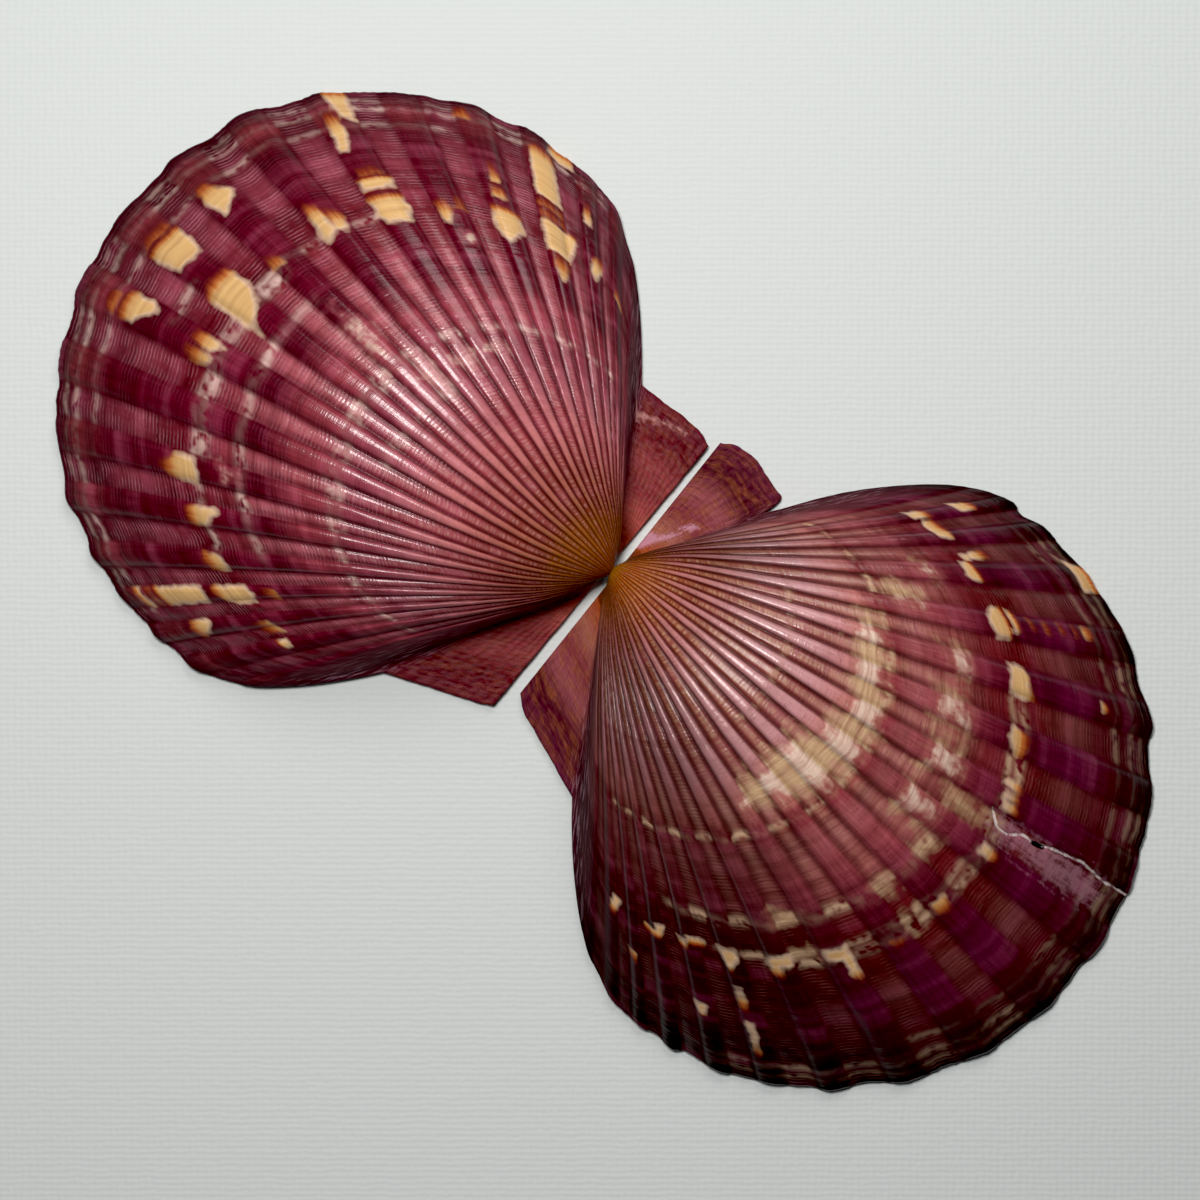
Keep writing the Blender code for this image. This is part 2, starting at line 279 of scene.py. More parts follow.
def growth_relief(valve, angle, growth):
    """Height of what growth left on the outside: steps, crowded ridges and uneven places."""
    relief = np.zeros_like(angle)
    for step in valve["steps"]:
        wander = step + 0.003 * np.sin(np.radians(angle * 9.0 + step * 900.0))
        past = growth - wander
        relief += np.where(past < 0.0, np.exp(-(past / 0.012) ** 2), -np.exp(-past / 0.015)) * 0.03
    across, along = angle * growth, growth * 60.0
    crowded = smooth_step(0.90, 0.97, growth)
    crowded *= 0.6 + ripple(across, along, 5.0, (11.0, 0.6), (4.0, 0.5))
    relief += 0.05 * crowded * np.sin(growth * 2.0 * math.pi / CROWDED_GAP
                                      + 1.5 * np.sin(np.radians(angle * 7.0)))
    relief += ripple(across, along, valve["turn"] + 1.0, (23.0, 0.12), (7.0, 0.05))
    junction = ear_size(valve, angle, "junction")
    ear = smooth_step(junction - 1.0, junction + 2.0, np.abs(angle))
    riblet = np.sin((np.abs(angle) - junction) * 2.0 * math.pi / 3.4
                    + ripple(across, along, 4.0, (19.0, 1.2)))
    line = ripple(along, across * 0.25, 2.0, (2.1, 1.0), (1.1, 0.6))
    relief += ear * (0.12 * riblet + 0.07 * line) * growth
    return relief * MM * smooth_step(0.04, 0.3, growth)


def line_distance(angle, growth, points):
    """Distance in millimetres from each point of the valve to a wandering line on it."""
    nearest = np.full_like(angle, 99.0)
    for (first_angle, first), (second_angle, second) in zip(points, points[1:]):
        scale = 60.0 * math.pi / 180.0 * growth
        across, along = (angle - first_angle) * scale, (growth - first) * 60.0
        run, rise = (second_angle - first_angle) * scale, (second - first) * 60.0
        share = np.clip((across * run + along * rise) / (run * run + rise * rise), 0.0, 1.0)
        nearest = np.minimum(nearest, np.hypot(across - share * run, along - share * rise))
    return nearest


def outside_point(valve, angle, growth, roll):
    """The outer surface; roll runs from 0 to 1 round the margin's rounded edge."""
    spin = CURL * np.log(1.0 / growth)
    rolled = roll * math.pi
    inset = EDGE * smooth_step(0.85, 1.0, growth) * (1.0 - np.sin(rolled))
    reach = growth * margin_radius(valve, angle, growth) - inset
    across, along = reach * np.sin(np.radians(angle)), reach * np.cos(np.radians(angle))
    place = rib_place(valve, angle, growth)
    ribs = rib_section(from_rib(valve, place, growth), growth) * rib_fade(valve, angle)
    height = along * np.sin(spin) * fullness(valve, angle, growth)
    rib_height = RIB_HEIGHT * growth ** 0.62 * (1.0 - 0.52 * smooth_step(0.35, 1.0, growth))
    height += rib_height * ribs + growth_relief(valve, angle, growth)
    if valve["crack"]:
        crack = line_distance(angle, growth, valve["crack"])
        height -= valve["crack_depth"] * np.exp(-(crack / 0.16) ** 2)
        hole = line_distance(angle, growth, valve["hole"])
        height -= valve["hole_depth"] * np.exp(-(hole / 0.20) ** 4)
    top = SHELL + height
    lip = FLUTE * ribs * smooth_step(0.9, 1.0, growth)
    fall = (1.0 - np.cos(rolled)) / 2.0
    return across, along * np.cos(spin), top * (1.0 - fall) + lip * fall


LIP = 0.75 * MM                # the lining stops this far short of the margin
STEEP_WALL = 1.0 * MM          # the steep sides' thickness, measured across
PLATE = 2.0 * MM               # width of the flat plate under the hinge
PIT_WIDTH, PIT_DEPTH = 1.1 * MM, 0.5 * MM      # the ligament's pit in the plate


def lining_point(valve, angle, growth):
    """The inner surface: the inside of the dome, and the flat plate under the hinge with its pit."""
    spin = CURL * np.log(1.0 / np.maximum(growth, 0.35))
    reach = growth * margin_radius(valve, angle, growth) - LIP * smooth_step(0.8, 1.0, growth)
    across, along = reach * np.sin(np.radians(angle)), reach * np.cos(np.radians(angle))
    outside = along * np.sin(CURL * np.log(1.0 / growth)) * fullness(valve, angle, growth)
    junction = ear_size(valve, angle, "junction")
    steep = smooth_step(30.0, 52.0, np.abs(angle))
    steep = steep * (1.0 - smooth_step(junction - 4.5, junction + 0.5, np.abs(angle)))
    inset = steep * smooth_step(1.0, 0.8, growth) * smooth_step(0.35, 0.6, growth)
    across = across - np.copysign(STEEP_WALL * inset, angle)
    place = rib_place(valve, angle, growth)
    flutes = rib_section(from_rib(valve, place, growth), growth) * rib_fade(valve, angle)
    height = np.maximum(0.0, outside - EDGE) * smooth_step(1.0, 0.93, growth)
    height += FLUTE * flutes * smooth_step(0.55, 1.0, growth)
    from_hinge = np.maximum(0.0, along * np.cos(spin))
    height = height * smooth_step(PLATE, 1.7 * PLATE, from_hinge)
    pit = np.exp(-(across / PIT_WIDTH) ** 4) * smooth_step(1.3 * PLATE, 0.8 * PLATE, from_hinge)
    height += PIT_DEPTH * pit * smooth_step(0.02, 0.3, growth)
    return across, along * np.cos(spin), height


def patch_depth(angle, growth, corners):
    """How far inside a patch each point lies, in millimetres; negative outside."""
    inside = np.zeros(angle.shape, bool)
    for (a1, g1), (a2, g2) in zip(corners, corners[1:] + corners[:1]):
        crosses = (g1 > growth) != (g2 > growth)
        slope = (a2 - a1) / (g2 - g1) if g1 != g2 else 0.0
        inside ^= crosses & (angle < a1 + (growth - g1) * slope)
    edge = line_distance(angle, growth, corners + corners[:1])
    return np.where(inside, edge, -edge)


OUTSIDE = -9.0                 # a depth well outside any patch


def deepest(angle, growth, patches):
    """How deep each point lies in whichever patch it is in."""
    depth = np.full_like(angle, OUTSIDE)
    for corners in patches:
        depth = np.maximum(depth, patch_depth(angle, growth, list(corners)))
    return depth


def band_tone(place, nearest, growth):
    """Darker and lighter lengths, about -1 to 1, each rib and each space with its own run."""
    band = np.where(nearest < RIB_EDGE, 2.0 * np.round(place), 2.0 * np.floor(place) + 1.0)
    tone = np.zeros_like(growth)
    for number, (waves, height) in enumerate(((4.0, 0.35), (9.0, 0.40), (19.0, 0.35), (37.0, 0.25))):
        own = 1.0 + 0.2 * np.sin(band * 3.1 + number)
        start = 40.0 * np.sin(band * 12.9 + number * 7.8)
        tone += height * np.sin(growth * waves * own * 2.0 * math.pi + start)
    return tone


def write_mark(mesh, name, values):
    """Keep one number for each point on the mesh, for a material to read."""
    mesh.attributes.new(name, "FLOAT", "POINT").data.foreach_set("value", values)


def write_marks(mesh, valve, angle, growth, yellow, cream, rings):
    """Keep on the mesh, point by point, what its colours follow."""
    place = rib_place(valve, angle, growth)
    nearest = from_rib(valve, place, growth)
    fade = rib_fade(valve, angle)
    young = 1.0 - smooth_step(0.45, 0.72, growth)
    marks = {"growth": growth, "tone": band_tone(place, nearest, growth) * fade}

    # across the ribs: the crest, the groove at its foot and the low ground beside it, both kept for
    # painted shade, and, while the valve is young, a low ridge between two ribs
    marks["rib"] = (1.0 - smooth_step(0.26, 0.31, nearest)) * fade
    marks["groove"] = np.exp(-((nearest - 0.30) / 0.045) ** 2) * fade * (0.5 + 0.5 * young)
    marks["painted_hollow_shade"] = np.exp(-((nearest - 0.33) / 0.075) ** 2) * fade * young
    marks["painted_hollow_shade"] *= smooth_step(0.10, 0.24, growth)
    marks["ridge"] = smooth_step(0.38, 0.46, nearest) * fade * young

    # round the valve: the ears, painted shade in the crease where they leave the disc, and the dark
    # flanks, partly painted shade
    past_junction = np.abs(angle) - ear_size(valve, angle, "junction")
    marks["ear"] = smooth_step(-3.0, 1.0, past_junction)
    marks["painted_fold_shade"] = np.exp(-((past_junction + 2.0) / 3.0) ** 2) * smooth_step(0.12, 0.4, growth)
    left_from, left_to, left_share, right_from, right_to, right_share = valve["dark_flank_and_shade"]
    grown = smooth_step(0.20, 0.62, growth)
    marks["dark_flank_and_shade"] = (left_share * smooth_step(-left_from, -left_to, -angle) * (1.0 - 0.55 * grown)
                     + right_share * smooth_step(right_from, right_to, angle) * (0.72 + 0.28 * grown))
    marks["dark_flank_and_shade"] *= 1.0 - marks["ear"]

    # how dull each place is, and how much its growth lines, streaks and bands show
    flank = smooth_step(44.0, 56.0, np.abs(angle))
    rib_side = np.exp(-((nearest - 0.265) / 0.075) ** 2) * fade
    young_gap = 0.45 * marks["ridge"] * (1.0 - smooth_step(0.30, 0.40, growth))
    marks["matt"] = np.max((0.7 * marks["ear"], flank, rib_side, young_gap,
                            0.35 * smooth_step(0.62, 0.80, growth)), axis=0)
    marks["comb"] = smooth_step(0.22, 0.45, growth) * (0.9 - 0.75 * marks["rib"])
    later = np.maximum(smooth_step(0.38, 0.62, growth), marks["ear"])
    marks["streaked"] = 0.12 + later * (0.10 + 0.35 * np.maximum(marks["rib"], marks["ear"]))
    marks["lined"] = 0.12 + later * (0.50 - 0.40 * marks["rib"])

    # yellow and cream patches: how deep each place lies in one, and how near its turned end
    marks["yellow"], marks["ripe"] = np.full_like(angle, OUTSIDE), np.zeros_like(angle)
    for turns, *corners in yellow:
        inside = patch_depth(angle, growth, list(corners))
        end = max(corner[1] for corner in corners)
        here = np.clip((growth - end) / (valve["turning"] * turns) + 1.0, 0.0, 1.0)
        marks["ripe"] = np.where(inside > marks["yellow"], here, marks["ripe"])
        marks["yellow"] = np.maximum(marks["yellow"], inside)
    marks["cream"] = deepest(angle, growth, cream)

    # pale rings in the spaces between ribs, each space with its own strength
    pale = np.zeros_like(angle)
    for ring, width, strength, first, last in rings:
        wander = ring + 0.002 * np.sin(angle * 0.9 + ring * 40.0)
        uneven = 0.75 + 0.25 * np.sin(np.floor(place) * 2.4 + ring * 50.0)
        window = (smooth_step(first - 1.0, first + 1.0, angle)
                  * smooth_step(last + 1.0, last - 1.0, angle))
        pale = np.maximum(pale, strength * uneven * window
                          * np.exp(-((growth - wander) / width) ** 2))
    marks["pale"] = pale * (1.0 - 0.8 * marks["rib"])

    if valve["crack"]:
        marks["crack"] = line_distance(angle, growth, valve["crack"])
        marks["hole"] = line_distance(angle, growth, valve["hole"])
        marks["worn"] = deepest(angle, growth, valve["worn"])
        marks["bare"] = 0.42 + 0.42 * marks["ear"]
    for name, values in marks.items():
        write_mark(mesh, name, values)


OUTSIDE_COLUMNS, OUTSIDE_ROWS, ROLL_ROWS = 344, 212, 8
LINING_COLUMNS, LINING_ROWS = OUTSIDE_COLUMNS // 2, OUTSIDE_ROWS // 2


def even_columns(valve, share):
    """Angles from -90 to 90, closer together on rib edges and along the crack."""
    fine = np.linspace(-90.0, 90.0, 7201)
    place = rib_place(valve, fine, np.ones_like(fine))
    nearest = np.abs(place - np.round(place))
    density = 0.55 + 0.45 * rib_fade(valve, fine) + 0.35 * np.exp(-((nearest - 0.25) / 0.07) ** 2)
    if valve["crack"]:
        density += 1.6 * np.exp(-((fine - valve["crack_angle"]) / 1.2) ** 4)
    total = np.concatenate(([0.0], np.cumsum((density[1:] + density[:-1]) / 2.0)))
    return np.interp(share, total / total[-1], fine)


def add_sheet(valve, columns, rows):
    """A flat grid for one surface, with the angle and the row share of each of its points."""
    bpy.ops.mesh.primitive_grid_add(x_subdivisions=columns, y_subdivisions=rows, size=2.0)
    sheet = bpy.context.object
    flat = np.empty(len(sheet.data.vertices) * 3)
    sheet.data.vertices.foreach_get("co", flat)
    flat = flat.reshape(-1, 3)
    return sheet, even_columns(valve, (flat[:, 0] + 1.0) / 2.0), (flat[:, 1] + 1.0) / 2.0


def growth_at(share):
    """The growth of each row, closer together near the beak and near the margin."""
    return BEAK + (1.0 - BEAK) * (1.24 * share - 0.24 * share ** 2.0) ** 1.1


def shape_sheet(valve, sheet, angle, growth, across, along, height):
    """Turn a valve's own directions into the row's, stay in the solid's box, and write the map."""
    turn = math.radians(valve["turn"])
    points = np.stack((
        valve["hinge"][0] + across * math.cos(turn) - along * math.sin(turn),
        valve["hinge"][1] + across * math.sin(turn) + along * math.cos(turn),
        height), axis=1)
    points = np.clip(points, np.array(cad_box[0]), np.array(cad_box[1]))
    sheet.data.vertices.foreach_set("co", points.ravel())
    corners = np.empty(len(sheet.data.loops), int)
    sheet.data.loops.foreach_get("vertex_index", corners)
    places = np.stack((angle[corners] / 180.0 + 0.5, growth[corners]), axis=1)
    sheet.data.uv_layers.active.data.foreach_set("uv", places.ravel())


def grow_valve(valve, yellow, cream, rings, outside_calcite, lining_calcite):
    """The whole valve: an outer sheet and a lining, shaped and then bridged round the edge."""
    outside, angle, share = add_sheet(valve, OUTSIDE_COLUMNS, OUTSIDE_ROWS)
    grown = 1.0 - ROLL_ROWS / OUTSIDE_ROWS
    growth = growth_at(np.clip(share / grown, 0.0, 1.0))
    roll = np.clip((share - grown) / (1.0 - grown), 0.0, 1.0)
    shape_sheet(valve, outside, angle, growth, *outside_point(valve, angle, growth, roll))
    write_marks(outside.data, valve, angle, growth, yellow, cream, rings)
    outside.data.materials.append(outside_calcite)

    lining, angle, share = add_sheet(valve, LINING_COLUMNS, LINING_ROWS)
    growth = growth_at(share)
    shape_sheet(valve, lining, angle, growth, *lining_point(valve, angle, growth))
    write_mark(lining.data, "growth", growth)
    past_junction = np.abs(angle) - ear_size(valve, angle, "junction")
    write_mark(lining.data, "ear", smooth_step(-3.0, 1.0, past_junction))
    lining.data.materials.append(lining_calcite)

    outside.select_set(True)
    lining.select_set(True)
    bpy.context.view_layer.objects.active = outside
    bpy.ops.object.join()
    bpy.ops.object.mode_set(mode="EDIT")
    bpy.ops.mesh.select_mode(type="EDGE")
    bpy.ops.mesh.select_all(action="DESELECT")
    bpy.ops.mesh.select_non_manifold()
    bpy.ops.mesh.bridge_edge_loops()
    bpy.ops.mesh.select_all(action="SELECT")
    bpy.ops.mesh.normals_make_consistent(inside=False)
    bpy.ops.mesh.select_all(action="DESELECT")
    bpy.ops.object.mode_set(mode="OBJECT")
    bpy.ops.object.shade_smooth()
    outside.name = valve["name"] + "_looks"
    outside.data.name = outside.name
    return outside


def colour(hex_value):
    """An sRGB hex colour as the linear one that shaders use."""
    parts = [int(hex_value[place:place + 2], 16) / 255.0 for place in (1, 3, 5)]
    return tuple(p / 12.92 if p <= 0.04045 else ((p + 0.055) / 1.055) ** 2.4
                 for p in parts) + (1.0,)


def add_node(material, kind, links=(), output=0, stops=(), **settings):
    """Add a node and give an output of it; links ties its inputs to values or other outputs."""
    tree = material.node_tree
    node = tree.nodes.new("ShaderNode" + kind)
    for name, value in settings.items():
        setattr(node, name, value)
    for socket, value in dict(links).items():
        if isinstance(value, bpy.types.NodeSocket):
            tree.links.new(value, node.inputs[socket])
        else:
            node.inputs[socket].default_value = value
    if stops:
        points = node.color_ramp.elements
        points.remove(points[1])
        points[0].position, points[0].color = stops[0][0], colour(stops[0][1])
        for place, shade in stops[1:]:
            points.new(place).color = colour(shade)
    return node.outputs[output]


def calcite_outside(name, rib_colours, gap_colours, ear_colours, tints):
    """Calcite shell, grown in fine lines, with its colour laid down along the ribs.

    Its crests are glossy, so light runs along them in streaks that the growth lines break up.
    Its grooves, flanks and ears are duller.
    """
    material = bpy.data.materials.new(name)
    material.use_nodes = True
    shader = material.node_tree.nodes["Principled BSDF"]
    mark = {}
    for what in ("growth", "rib", "groove", "painted_hollow_shade", "ridge", "tone", "dark_flank_and_shade", "ear", "painted_fold_shade",
                 "matt", "comb", "streaked", "lined", "pale", "cream", "yellow", "ripe"):
        mark[what] = add_node(material, "Attribute", output="Fac", attribute_name=what)

    # Fine variation, as cycles across and along the map, then scale, detail and roughness. The
    # map is about 150 mm wide and 60 mm high, so streaks are 0.4 mm wide and 5 mm long, lines
    # 0.5 mm apart, wrinkles 0.2 mm apart, uneven, cloudy and spots 1 to 2 mm across, and the
    # ears' clouds 6 mm by 2.5 mm.
    map_uv = add_node(material, "TexCoord", output="UV")
    uneven, streaks, lines, cloudy, spots, wrinkles, ear_cloud = (
        add_node(material, "TexNoise", {
            "Vector": add_node(material, "Mapping", {"Vector": map_uv,
                                                     "Scale": (across, along, 1.0)}),
            "Scale": scale, "Detail": detail, "Roughness": rough})
        for across, along, scale, detail, rough in (
            (150.0, 60.0, 1.1, 4.0, 0.6), (420.0, 12.0, 1.0, 3.0, 0.6),
            (14.0, 130.0, 1.0, 3.0, 0.6), (150.0, 60.0, 0.55, 3.0, 0.5),
            (150.0, 60.0, 0.9, 1.0, 0.5), (34.0, 260.0, 1.0, 3.0, 0.6),
            (26.0, 24.0, 1.0, 3.0, 0.6)))

    # the ground colour of ribs, spaces and ears, moved a little along the growth lines so that
    # its rings aren't drawn with compasses
    shift = add_node(material, "Math", {0: uneven, 1: 0.045, 2: -0.0225}, operation="MULTIPLY_ADD")
    wander = add_node(material, "Math", {0: mark["growth"], 1: shift}, operation="ADD")
    rib_shade, shade, ear_shade = (add_node(material, "ValToRGB", {0: wander}, stops=ramp)
                                   for ramp in (rib_colours, gap_colours, ear_colours))
    ear_tan = add_node(material, "MapRange", {"Value": ear_cloud, "From Min": 0.46,
                                              "From Max": 0.66, "To Max": 0.60})
    ear_shade = add_node(material, "Mix", {0: ear_tan, 6: ear_shade, 7: colour(tints["ear_tan"])},
                         2, data_type="RGBA")
    speckled = add_node(material, "MapRange", {"Value": wrinkles, "From Min": 0.40,
                                               "From Max": 0.62, "To Max": 0.45})
    speckled = add_node(material, "Math", {0: speckled, 1: mark["ridge"]}, operation="MULTIPLY")
    # painted shade in the low ground beside the young ribs, multiplied over the colour
    painted_hollow_shade = add_node(material, "Math", {0: mark["painted_hollow_shade"], 1: 0.75}, operation="MULTIPLY")
    # what lies over the ground colour, from the first layer to the last: its share, its colour
    # and how it is laid on
    layers = [(speckled, colour(tints["cream_gap"]), "MIX"),
              (mark["rib"], rib_shade, "MIX"),
              (painted_hollow_shade, colour(tints["painted_hollow_shade"]), "MULTIPLY"),
              # painted shade on the flanks turned from the light, over their own darker colour
              (mark["dark_flank_and_shade"], colour("#4a2028"), "MULTIPLY"),
              (mark["ear"], ear_shade, "MIX")]

    # darker and lighter lengths, streaks along the ribs and bands along the growth lines
    tone = add_node(material, "Math", {0: mark["tone"], 1: 0.35, 2: 0.5}, operation="MULTIPLY_ADD")
    tone_shade = add_node(material, "ValToRGB", {0: tone}, stops=(
        (0.10, "#8c5058"), (0.50, "#d8bcc0"), (0.90, "#ffffff")))
    streak_shade = add_node(material, "ValToRGB", {0: streaks}, stops=(
        (0.30, "#a06c70"), (0.50, "#dcc8c8"), (0.66, "#ffffff")))
    line_shade = add_node(material, "ValToRGB", {0: lines}, stops=(
        (0.30, "#945c60"), (0.48, "#dccaca"), (0.66, "#ffffff")))
    tone_share = add_node(material, "MapRange", {"Value": mark["growth"], "From Min": 0.35,
                                                 "From Max": 0.65, "To Min": 0.22,
                                                 "To Max": 0.6})
    blush = add_node(material, "MapRange", {"Value": mark["tone"], "From Min": 0.1,
                                            "From Max": 1.1, "To Max": 0.35})
    blush = add_node(material, "Math", {0: blush, 1: streaks}, operation="MULTIPLY")
    layers += [(tone_share, tone_shade, "MULTIPLY"), (mark["streaked"], streak_shade, "MULTIPLY"),
               (mark["lined"], line_shade, "MULTIPLY"), (blush, colour(tints["blush"]), "MIX")]

    # growth lines, 0.4 mm apart, whose edges are paler where they stand up
    phase = add_node(material, "Math", {0: mark["growth"], 1: 2.0 * math.pi / LINE_GAP},
                     operation="MULTIPLY")
    phase = add_node(material, "Math", {0: uneven, 1: 5.0, 2: phase}, operation="MULTIPLY_ADD")
    fine_line = add_node(material, "Math", {0: phase}, operation="SINE")
    patchy = add_node(material, "MapRange", {"Value": cloudy, "From Min": 0.42,
                                             "From Max": 0.60})
    combed = add_node(material, "Math", {0: mark["comb"], 1: patchy}, operation="MULTIPLY")
    line_edge = add_node(material, "Math", {0: fine_line, 1: combed}, operation="MULTIPLY",
                         use_clamp=True)
    line_edge = add_node(material, "Math", {0: line_edge, 1: 0.28}, operation="MULTIPLY")

    # short dark wrinkles, here and there
    wrinkle = add_node(material, "Math", {0: wrinkles, 1: 0.5}, operation="SUBTRACT")
    wrinkle = add_node(material, "Math", {0: wrinkle}, operation="ABSOLUTE")
    wrinkle = add_node(material, "MapRange", {"Value": wrinkle, "From Min": 0.020,
                                              "From Max": 0.004, "To Max": 0.5})
    wrinkled = add_node(material, "MapRange", {"Value": cloudy, "From Min": 0.44,
                                               "From Max": 0.56})
    wrinkle = add_node(material, "Math", {0: wrinkle, 1: wrinkled}, operation="MULTIPLY")

    # painted shade in the grooves beside the ribs, painted shade streaked with pale flakes in the
    # crease where an ear leaves the disc, and broken pale spots where growth paused
    # painted shade in the groove at each rib's foot
    groove = add_node(material, "Math", {0: mark["groove"], 1: 0.75}, operation="MULTIPLY")
    # the crease's painted shade, dark with pale flaky streaks
    fold_shade_and_flakes = add_node(material, "ValToRGB", {0: streaks}, stops=(
        (0.40, "#22060e"), (0.54, "#4a1828"), (0.64, "#a88898")))
    painted_fold_shade = add_node(material, "Math", {0: mark["painted_fold_shade"], 1: 0.65}, operation="MULTIPLY")
    broken = add_node(material, "MapRange", {"Value": spots, "From Min": 0.34,
                                             "From Max": 0.54})
    pale = add_node(material, "Math", {0: mark["pale"], 1: broken}, operation="MULTIPLY")
    layers += [(line_edge, colour(tints["line"]), "MIX"),
               (wrinkle, colour(tints["groove"]), "MIX"),
               (groove, colour(tints["groove"]), "MIX"),
               (painted_fold_shade, fold_shade_and_flakes, "MIX"),
               (pale, colour(tints["pale"]), "MIX")]

    # cream places, cloudy at their edges and wrinkled by growth lines
    ragged = add_node(material, "Math", {0: mark["cream"], 1: -2.85}, operation="ADD")
    for grain, strength in ((cloudy, 3.5), (spots, 2.2), (mark["tone"], 0.5)):
        ragged = add_node(material, "Math", {0: grain, 1: strength, 2: ragged},
                          operation="MULTIPLY_ADD")
    cream = add_node(material, "MapRange", {"Value": ragged, "From Min": -1.0, "From Max": 1.3,
                                            "To Max": 0.78})
    cream_shade = add_node(material, "ValToRGB", {0: ragged}, stops=(
        (0.0, tints["cream_dark"]), (0.6, tints["cream"]), (1.0, "#f6e2cc")))
    cream_shade = add_node(material, "Mix", {0: mark["rib"], 6: colour(tints["cream_gap"]),
                                             7: cream_shade}, 2, data_type="RGBA")
    cream_shade = add_node(material, "Mix", {0: 0.7, 6: cream_shade, 7: line_shade}, 2,
                           data_type="RGBA", blend_type="MULTIPLY")
    cream_shade = add_node(material, "Mix", {0: wrinkle, 6: cream_shade,
                                             7: colour(tints["cream_dark"])}, 2,
                           data_type="RGBA")

    # yellow patches on the ribs: whitish rims, and ends that turn orange and brown
    ragged = add_node(material, "Math", {0: spots, 1: 0.7, 2: -0.35}, operation="MULTIPLY_ADD")
    ragged = add_node(material, "Math", {0: mark["yellow"], 1: ragged}, operation="ADD")
    patch = add_node(material, "MapRange", {"Value": ragged, "From Min": -0.30,
                                            "From Max": 0.24})
    turned = add_node(material, "Math", {0: mark["ripe"], 1: -0.53}, operation="ADD")
    for grain, strength in ((streaks, 0.5), (lines, 0.4)):
        turned = add_node(material, "Math", {0: grain, 1: strength, 2: turned},
                          operation="MULTIPLY_ADD")
    patch_shade = add_node(material, "ValToRGB", {0: turned}, stops=(
        (0.0, tints["yellow"]), (0.28, "#d8a468"), (0.50, "#bc6c38"), (0.75, "#843220"),
        (1.0, "#5c1416")))
    rim = add_node(material, "MapRange", {"Value": ragged, "From Min": 0.45, "From Max": 0.05,
                                          "To Max": 0.5})
    rim = add_node(material, "Math", {0: rim, 1: mark["ripe"]}, operation="SUBTRACT",
                   use_clamp=True)
    patch_shade = add_node(material, "Mix", {0: rim, 6: patch_shade, 7: colour("#f0d8cc")}, 2,
                           data_type="RGBA")
    patch_shade = add_node(material, "Mix", {0: 0.35, 6: patch_shade, 7: line_shade}, 2,
                           data_type="RGBA", blend_type="MULTIPLY")
    layers += [(cream, cream_shade, "MIX"), (patch, patch_shade, "MIX")]

    # places worn to bare lilac and chalk, the crack with its chalky lips, and the hole, its inside
    # painted near black as painted shade
    if "worn" in tints:
        for what in ("worn", "bare", "crack", "hole"):
            mark[what] = add_node(material, "Attribute", output="Fac", attribute_name=what)
        ragged = add_node(material, "Math", {0: mark["worn"], 1: -4.5}, operation="ADD")
        for grain, strength in ((uneven, 5.0), (streaks, 4.0)):
            ragged = add_node(material, "Math", {0: grain, 1: strength, 2: ragged},
                              operation="MULTIPLY_ADD")
        worn = add_node(material, "MapRange", {"Value": ragged, "From Min": -0.6,
                                               "From Max": 0.9})
        worn = add_node(material, "Math", {0: worn, 1: mark["bare"]}, operation="MULTIPLY")
        chipped = add_node(material, "Math", {0: uneven, 1: 0.5, 2: -0.25},
                           operation="MULTIPLY_ADD")
        crack = add_node(material, "Math", {0: mark["crack"], 1: chipped}, operation="ADD")
        crack = add_node(material, "MapRange", {"Value": crack, "From Min": 0.16,
                                                "From Max": 0.04, "To Max": 0.9})
        # the hole's inside, painted near black as painted shade
        hole = add_node(material, "MapRange", {"Value": mark["hole"], "From Min": 0.26,
                                               "From Max": 0.18})
        layers += [(worn, colour(tints["worn"]), "MIX"), (crack, colour(tints["crack"]), "MIX"),
                   (hole, colour(tints["hole"]), "MIX")]

    for share, layer, laid in layers:
        shade = add_node(material, "Mix", {0: share, 6: shade, 7: layer}, 2, data_type="RGBA",
                         blend_type=laid)
    material.node_tree.links.new(shade, shader.inputs["Base Color"])

    # gloss: a clear coat on the crests, and hardly any on ears, flanks and grooves, which are
    # rough as well; calcite's IOR is 1.6, and its own mirror light is weak and reddish
    gloss = add_node(material, "MapRange", {"Value": lines, "From Min": 0.3, "From Max": 0.7,
                                            "To Min": 0.24, "To Max": 0.36})
    rough = add_node(material, "Math", {0: mark["matt"], 1: 0.45, 2: gloss},
                     operation="MULTIPLY_ADD")
    material.node_tree.links.new(rough, shader.inputs["Roughness"])
    polish = add_node(material, "Math", {0: mark["matt"], 1: -0.85, 2: 0.80},
                      operation="MULTIPLY_ADD", use_clamp=True)
    material.node_tree.links.new(polish, shader.inputs["Coat Weight"])
    shader.inputs["IOR"].default_value = 1.6
    shader.inputs["Specular IOR Level"].default_value = 0.14
    shader.inputs["Specular Tint"].default_value = colour("#f0bcc4")
    shader.inputs["Coat Roughness"].default_value = 0.20

    # bands, streaks, wrinkles and growth lines stand up by a few hundredths of a millimetre
    height = add_node(material, "Math", {0: combed, 1: 0.45}, operation="MULTIPLY")
    height = add_node(material, "Math", {0: fine_line, 1: height}, operation="MULTIPLY")
    for grain, strength in ((lines, 2.2), (streaks, 1.2), (wrinkles, 1.4)):
        height = add_node(material, "Math", {0: grain, 1: strength, 2: height},
                          operation="MULTIPLY_ADD")
    bump = add_node(material, "Bump", {"Height": height, "Strength": 0.3,
                                       "Distance": 0.05 * MM})
    material.node_tree.links.new(bump, shader.inputs["Normal"])
    material.node_tree.links.new(bump, shader.inputs["Coat Normal"])
    return material


